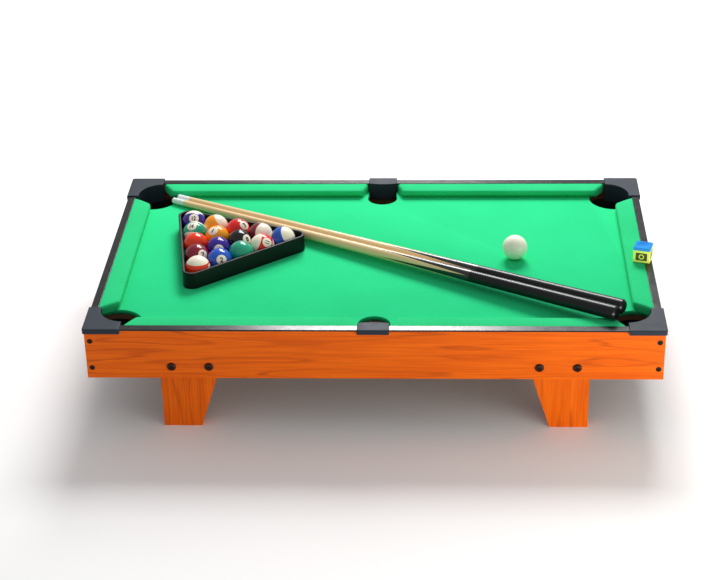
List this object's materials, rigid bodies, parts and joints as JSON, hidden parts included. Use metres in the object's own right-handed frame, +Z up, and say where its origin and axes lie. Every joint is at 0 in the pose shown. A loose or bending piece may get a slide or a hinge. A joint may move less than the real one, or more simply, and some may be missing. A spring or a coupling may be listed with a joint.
{
  "type": "mini pool table",
  "caption": "Tabletop pool table with cloth bed, mitred cushions, moulded pocket caps and cups, panel legs, racked balls, cue ball, cues and chalk.",
  "frame": {"origin": "centre of the table's footprint on the surface it stands on", "axes": "+X along the table's length to the right seen from the front, +Y to the back, +Z up"},
  "size_m": [0.51, 0.312, 0.1191],
  "materials": {
    "apron_foil": "satin cherry wood-grain foil on fibreboard",
    "leg_foil": "satin cherry wood-grain foil on fibreboard, grain upright",
    "fibreboard": "raw sawn edges",
    "bed_cloth": "short napped green cloth",
    "cushion_cloth": "green cloth stretched over foam",
    "trim_plastic": "gloss black strip",
    "cap_plastic": "fine satin moulded dark grey",
    "cup_plastic": "plain moulded black",
    "black_steel": "blackened screws and bolts",
    "rack_plastic": "satin moulded black",
    "ball_white": "polished cream",
    "ball_yellow": "polished",
    "ball_blue": "polished",
    "ball_red": "polished",
    "ball_purple": "polished",
    "ball_orange": "polished",
    "ball_green": "polished",
    "ball_maroon": "polished",
    "ball_black": "polished",
    "cue_tip": "white moulded cap",
    "cue_wood": "lacquered pale maple",
    "cue_lacquer": "gloss black lacquer",
    "chalk_blue": "pressed chalk"
  },
  "bodies": {
    "table": {"front_apron": "apron_foil", "back_apron": "apron_foil", "left_apron": "apron_foil", "right_apron": "apron_foil", "front_left_leg": "leg_foil", "front_right_leg": "leg_foil", "back_left_leg": "leg_foil", "back_right_leg": "leg_foil", "bed_board": "fibreboard", "bed_cloth": "bed_cloth", "front_left_cushion": "cushion_cloth", "front_right_cushion": "cushion_cloth", "back_left_cushion": "cushion_cloth", "back_right_cushion": "cushion_cloth", "left_cushion": "cushion_cloth", "right_cushion": "cushion_cloth", "front_trim": "trim_plastic", "back_trim": "trim_plastic", "left_trim": "trim_plastic", "right_trim": "trim_plastic", "front_left_cap": "cap_plastic", "front_right_cap": "cap_plastic", "back_left_cap": "cap_plastic", "back_right_cap": "cap_plastic", "front_side_cap": "cap_plastic", "back_side_cap": "cap_plastic", "front_left_cup": "cup_plastic", "front_right_cup": "cup_plastic", "back_left_cup": "cup_plastic", "back_right_cup": "cup_plastic", "front_side_cup": "cup_plastic", "back_side_cup": "cup_plastic", "apron_screws": "black_steel", "leg_bolts": "black_steel", "leg_nuts": "black_steel", "cup_screws": "black_steel"},
    "rack": {"rack": "rack_plastic"},
    "cue_ball": {"cue_ball": "ball_white"},
    "chalk": {"chalk": "chalk_blue"},
    "front_cue": {"front_cue_tip": "cue_tip", "front_cue_shaft": "cue_wood", "front_cue_butt": "cue_lacquer"},
    "rear_cue": {"rear_cue_tip": "cue_tip", "rear_cue_shaft": "cue_wood", "rear_cue_butt": "cue_lacquer"},
    "ball_1": {"ball_1": "ball_yellow"},
    "ball_2": {"ball_2": "ball_blue"},
    "ball_3": {"ball_3": "ball_red"},
    "ball_4": {"ball_4": "ball_purple"},
    "ball_5": {"ball_5": "ball_orange"},
    "ball_6": {"ball_6": "ball_green"},
    "ball_7": {"ball_7": "ball_maroon"},
    "ball_8": {"ball_8": "ball_black"},
    "ball_9": {"ball_9": "ball_yellow"},
    "ball_10": {"ball_10": "ball_blue"},
    "ball_11": {"ball_11": "ball_red"},
    "ball_12": {"ball_12": "ball_purple"},
    "ball_13": {"ball_13": "ball_orange"},
    "ball_14": {"ball_14": "ball_green"},
    "ball_15": {"ball_15": "ball_maroon"}
  },
  "joints": [
    {"name": "rack_lift", "type": "slide", "parent": "table", "child": "rack", "axis": [0, 0, 1], "range_m": [0, 0.06]},
    {"name": "cue_ball_run", "type": "slide", "parent": "table", "child": "cue_ball", "axis": [1, 0, 0], "range_m": [-0.07, 0.085]},
    {"name": "front_cue_lift", "type": "slide", "parent": "table", "child": "front_cue", "axis": [0, 0, 1], "range_m": [0, 0.06]},
    {"name": "rear_cue_lift", "type": "slide", "parent": "table", "child": "rear_cue", "axis": [0, 0, 1], "range_m": [0, 0.06]},
    {"name": "chalk_lift", "type": "slide", "parent": "table", "child": "chalk", "axis": [0, 0, 1], "range_m": [0, 0.04]},
    {"name": "ball_1_lift", "type": "slide", "parent": "table", "child": "ball_1", "axis": [0, 0, 1], "range_m": [0, 0.05]},
    {"name": "ball_2_lift", "type": "slide", "parent": "table", "child": "ball_2", "axis": [0, 0, 1], "range_m": [0, 0.05]},
    {"name": "ball_3_lift", "type": "slide", "parent": "table", "child": "ball_3", "axis": [0, 0, 1], "range_m": [0, 0.05]},
    {"name": "ball_4_lift", "type": "slide", "parent": "table", "child": "ball_4", "axis": [0, 0, 1], "range_m": [0, 0.05]},
    {"name": "ball_5_lift", "type": "slide", "parent": "table", "child": "ball_5", "axis": [0, 0, 1], "range_m": [0, 0.05]},
    {"name": "ball_6_lift", "type": "slide", "parent": "table", "child": "ball_6", "axis": [0, 0, 1], "range_m": [0, 0.05]},
    {"name": "ball_7_lift", "type": "slide", "parent": "table", "child": "ball_7", "axis": [0, 0, 1], "range_m": [0, 0.05]},
    {"name": "ball_8_lift", "type": "slide", "parent": "table", "child": "ball_8", "axis": [0, 0, 1], "range_m": [0, 0.05]},
    {"name": "ball_9_lift", "type": "slide", "parent": "table", "child": "ball_9", "axis": [0, 0, 1], "range_m": [0, 0.05]},
    {"name": "ball_10_lift", "type": "slide", "parent": "table", "child": "ball_10", "axis": [0, 0, 1], "range_m": [0, 0.05]},
    {"name": "ball_11_lift", "type": "slide", "parent": "table", "child": "ball_11", "axis": [0, 0, 1], "range_m": [0, 0.05]},
    {"name": "ball_12_lift", "type": "slide", "parent": "table", "child": "ball_12", "axis": [0, 0, 1], "range_m": [0, 0.05]},
    {"name": "ball_13_lift", "type": "slide", "parent": "table", "child": "ball_13", "axis": [0, 0, 1], "range_m": [0, 0.05]},
    {"name": "ball_14_lift", "type": "slide", "parent": "table", "child": "ball_14", "axis": [0, 0, 1], "range_m": [0, 0.05]},
    {"name": "ball_15_lift", "type": "slide", "parent": "table", "child": "ball_15", "axis": [0, 0, 1], "range_m": [0, 0.05]}
  ]
}
